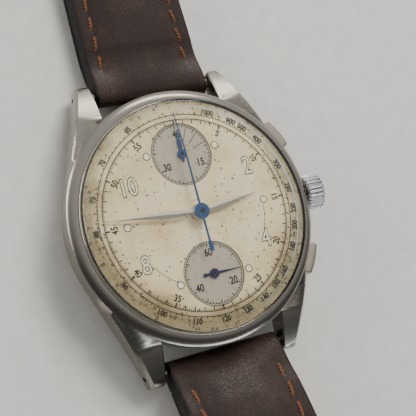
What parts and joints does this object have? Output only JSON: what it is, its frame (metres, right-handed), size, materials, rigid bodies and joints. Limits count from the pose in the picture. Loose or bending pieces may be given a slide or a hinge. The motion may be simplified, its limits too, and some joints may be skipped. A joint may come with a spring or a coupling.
{
  "type": "chronograph wristwatch",
  "caption": "Hand-wound chronograph wristwatch with a round steel case, two sub-dials, leaf hands, crown, pushers and a padded leather strap laid open.",
  "frame": {"origin": "centre of the case back's flat outer face", "axes": "+Z out through the dial, +Y to 12 o'clock along the strap, +X to the crown at 3 o'clock"},
  "size_m": [0.0393, 0.2212, 0.0167],
  "materials": {
    "case_steel": "polished",
    "crystal_clear": "clear acrylic",
    "dial_silver": "matte aged silver",
    "hand_steel": "polished",
    "hand_blue": "blued steel",
    "plate_nickel": "nickel plated, grained",
    "wheel_brass": "gilt",
    "work_steel": "polished",
    "spring_blue": "blued steel",
    "seal_rubber": "matte",
    "strap_leather": "smooth pebble grain",
    "lining_leather": "matte"
  },
  "bodies": {
    "case": {"case_middle": "case_steel", "bezel": "case_steel", "crystal": "crystal_clear", "case_back": "case_steel", "case_back_gasket": "seal_rubber", "spring_bars": "case_steel", "crown_tube": "case_steel", "pusher_tubes": "case_steel", "dial": "dial_silver", "main_plate": "plate_nickel", "barrel_bridge": "plate_nickel", "train_bridge": "plate_nickel", "balance_cock": "plate_nickel", "pallet_bridge": "plate_nickel", "chronograph_bridge": "plate_nickel", "movement_screws": "work_steel", "hairspring": "spring_blue"},
    "minute_work": {"centre_wheel": "wheel_brass", "cannon_pinion": "work_steel", "minute_hand": "hand_steel"},
    "hour_work": {"hour_wheel": "wheel_brass", "hour_hand": "hand_steel"},
    "minute_wheel": {"minute_wheel": "wheel_brass"},
    "third_wheel": {"third_wheel": "wheel_brass"},
    "running_seconds": {"fourth_wheel": "wheel_brass", "small_seconds_hand": "hand_blue"},
    "escape_wheel": {"escape_wheel": "wheel_brass"},
    "pallet_fork": {"pallet_fork": "work_steel"},
    "balance": {"balance_wheel": "wheel_brass"},
    "barrel": {"barrel": "wheel_brass", "mainspring": "work_steel"},
    "ratchet_wheel": {"ratchet_wheel": "work_steel"},
    "crown_wheel": {"crown_wheel": "work_steel"},
    "crown_slide": {"crown_gasket": "seal_rubber"},
    "crown": {"crown": "case_steel", "winding_stem": "work_steel", "winding_pinion": "work_steel"},
    "start_pusher": {"start_pusher": "case_steel"},
    "reset_pusher": {"reset_pusher": "case_steel"},
    "chronograph": {"chronograph_wheel": "wheel_brass", "chronograph_hand": "hand_blue"},
    "minute_counter": {"minute_recorder": "wheel_brass", "minute_counter_hand": "hand_blue"},
    "coupling_lever": {"coupling_lever": "work_steel"},
    "coupling_wheel": {"coupling_wheel": "wheel_brass"},
    "column_wheel": {"column_wheel": "work_steel"},
    "reset_hammer": {"reset_hammer": "work_steel"},
    "buckle_strap_inner": {"buckle_strap_inner": "strap_leather", "buckle_strap_inner_lining": "lining_leather"},
    "buckle_strap_outer": {"buckle_strap_outer": "strap_leather", "buckle_strap_outer_lining": "lining_leather", "fixed_keeper": "strap_leather"},
    "holed_strap_inner": {"holed_strap_inner": "strap_leather", "holed_strap_inner_lining": "lining_leather"},
    "holed_strap_outer": {"holed_strap_outer": "strap_leather", "holed_strap_outer_lining": "lining_leather"},
    "sliding_keeper": {"sliding_keeper": "strap_leather"},
    "buckle": {"buckle_frame": "case_steel", "buckle_bar": "case_steel"},
    "buckle_tongue": {"buckle_tongue": "case_steel"}
  },
  "joints": [
    {"name": "minute_hand_turn", "type": "hinge", "parent": "case", "child": "minute_work", "pos_m": [0, 0, 0.004], "axis": [0, 0, -1], "continuous": true},
    {"name": "hour_hand_turn", "type": "hinge", "parent": "case", "child": "hour_work", "pos_m": [0, 0, 0.004], "axis": [0, 0, -1], "continuous": true},
    {"name": "minute_wheel_turn", "type": "hinge", "parent": "case", "child": "minute_wheel", "pos_m": [0.00219, -0.00127, 0.004], "axis": [0, 0, -1], "continuous": true},
    {"name": "barrel_turn", "type": "hinge", "parent": "case", "child": "barrel", "pos_m": [0.0051, 0.00375, 0.004], "axis": [0, 0, -1], "continuous": true},
    {"name": "third_wheel_turn", "type": "hinge", "parent": "case", "child": "third_wheel", "pos_m": [-0.00238, -0.00459, 0.004], "axis": [0, 0, -1], "continuous": true},
    {"name": "running_seconds_turn", "type": "hinge", "parent": "case", "child": "running_seconds", "pos_m": [0, -0.00845, 0.004], "axis": [0, 0, -1], "continuous": true},
    {"name": "escape_wheel_turn", "type": "hinge", "parent": "case", "child": "escape_wheel", "pos_m": [-0.004, -0.0093, 0.004], "axis": [0, 0, -1], "continuous": true},
    {"name": "pallet_rock", "type": "hinge", "parent": "case", "child": "pallet_fork", "pos_m": [-0.0061, -0.00695, 0.004], "axis": [0, 0, 1], "range_deg": [-5, 5]},
    {"name": "balance_swing", "type": "hinge", "parent": "case", "child": "balance", "pos_m": [-0.0078, -0.0043, 0.004], "axis": [0, 0, 1], "range_deg": [-140, 140], "stiffness_Nm_per_rad": 0.0000004},
    {"name": "chronograph_hand_turn", "type": "hinge", "parent": "case", "child": "chronograph", "pos_m": [0, 0, 0.004], "axis": [0, 0, -1], "continuous": true},
    {"name": "minute_counter_turn", "type": "hinge", "parent": "case", "child": "minute_counter", "pos_m": [0, 0.00845, 0.004], "axis": [0, 0, -1], "continuous": true},
    {"name": "coupling_swing", "type": "hinge", "parent": "case", "child": "coupling_lever", "pos_m": [0, -0.00845, 0.004], "axis": [0, 0, -1], "range_deg": [0, 5]},
    {"name": "coupling_wheel_turn", "type": "hinge", "parent": "coupling_lever", "child": "coupling_wheel", "pos_m": [0.00155, -0.00422, 0.004], "axis": [0, 0, -1], "continuous": true},
    {"name": "column_wheel_turn", "type": "hinge", "parent": "case", "child": "column_wheel", "pos_m": [0.0063, 0.0104, 0.004], "axis": [0, 0, -1], "continuous": true},
    {"name": "reset_press", "type": "slide", "parent": "case", "child": "reset_pusher", "axis": [-0.866, 0.5, 0], "range_m": [0, 0.0009], "stiffness_N_per_m": 1500},
    {"name": "hammer_swing", "type": "hinge", "parent": "case", "child": "reset_hammer", "pos_m": [0.0068, -0.0082, 0.004], "axis": [0, 0, 1], "range_deg": [0, 7]},
    {"name": "start_press", "type": "slide", "parent": "case", "child": "start_pusher", "axis": [-0.866, -0.5, 0], "range_m": [0, 0.0009], "stiffness_N_per_m": 1500},
    {"name": "crown_pull", "type": "slide", "parent": "case", "child": "crown_slide", "axis": [1, 0, 0], "range_m": [0, 0.0008]},
    {"name": "crown_turn", "type": "hinge", "parent": "crown_slide", "child": "crown", "pos_m": [0, 0, 0.0049], "axis": [1, 0, 0], "continuous": true},
    {"name": "crown_wheel_turn", "type": "hinge", "parent": "case", "child": "crown_wheel", "pos_m": [0.0109, 0.001, 0.004], "axis": [0, 0, 1], "continuous": true},
    {"name": "ratchet_wheel_turn", "type": "hinge", "parent": "case", "child": "ratchet_wheel", "pos_m": [0.0051, 0.00375, 0.004], "axis": [0, 0, 1], "continuous": true},
    {"name": "buckle_half_hinge", "type": "hinge", "parent": "case", "child": "buckle_strap_inner", "pos_m": [0, 0.0197, 0.0031], "axis": [1, 0, 0], "range_deg": [-75, 55]},
    {"name": "buckle_half_flex", "type": "hinge", "parent": "buckle_strap_inner", "child": "buckle_strap_outer", "pos_m": [0, 0.0497, 0.00094], "axis": [-1, 0, 0], "range_deg": [0, 55], "stiffness_Nm_per_rad": 0.01},
    {"name": "holed_half_hinge", "type": "hinge", "parent": "case", "child": "holed_strap_inner", "pos_m": [0, -0.0197, 0.0031], "axis": [-1, 0, 0], "range_deg": [-100, 40]},
    {"name": "holed_half_flex", "type": "hinge", "parent": "holed_strap_inner", "child": "holed_strap_outer", "pos_m": [0, -0.06478, 0.01399], "axis": [1, 0, 0], "range_deg": [0, 55], "stiffness_Nm_per_rad": 0.01},
    {"name": "keeper_slide", "type": "slide", "parent": "buckle_strap_outer", "child": "sliding_keeper", "axis": [0, -1, 0], "range_m": [0, 0.018]},
    {"name": "buckle_hinge", "type": "hinge", "parent": "buckle_strap_outer", "child": "buckle", "pos_m": [0, 0.0877, 0.00225], "axis": [1, 0, 0], "range_deg": [-80, 105]},
    {"name": "tongue_hinge", "type": "hinge", "parent": "buckle", "child": "buckle_tongue", "pos_m": [0, 0.0877, 0.00225], "axis": [1, 0, 0], "range_deg": [0, 100]}
  ],
  "couplings": [
    {"joint": "hour_hand_turn", "follows": "minute_hand_turn", "ratio": 0.083333},
    {"joint": "minute_wheel_turn", "follows": "minute_hand_turn", "ratio": -0.33333},
    {"joint": "barrel_turn", "follows": "minute_hand_turn", "ratio": -0.14286},
    {"joint": "third_wheel_turn", "follows": "minute_hand_turn", "ratio": -8},
    {"joint": "running_seconds_turn", "follows": "minute_hand_turn", "ratio": 60},
    {"joint": "escape_wheel_turn", "follows": "minute_hand_turn", "ratio": -600},
    {"joint": "minute_counter_turn", "follows": "chronograph_hand_turn", "ratio": 0.022222},
    {"joint": "coupling_wheel_turn", "follows": "chronograph_hand_turn", "ratio": -1.7647},
    {"joint": "hammer_swing", "follows": "reset_press", "rad_per_m": 135.75},
    {"joint": "crown_wheel_turn", "follows": "crown_turn", "ratio": 0.47059},
    {"joint": "ratchet_wheel_turn", "follows": "crown_turn", "ratio": -0.33333}
  ]
}
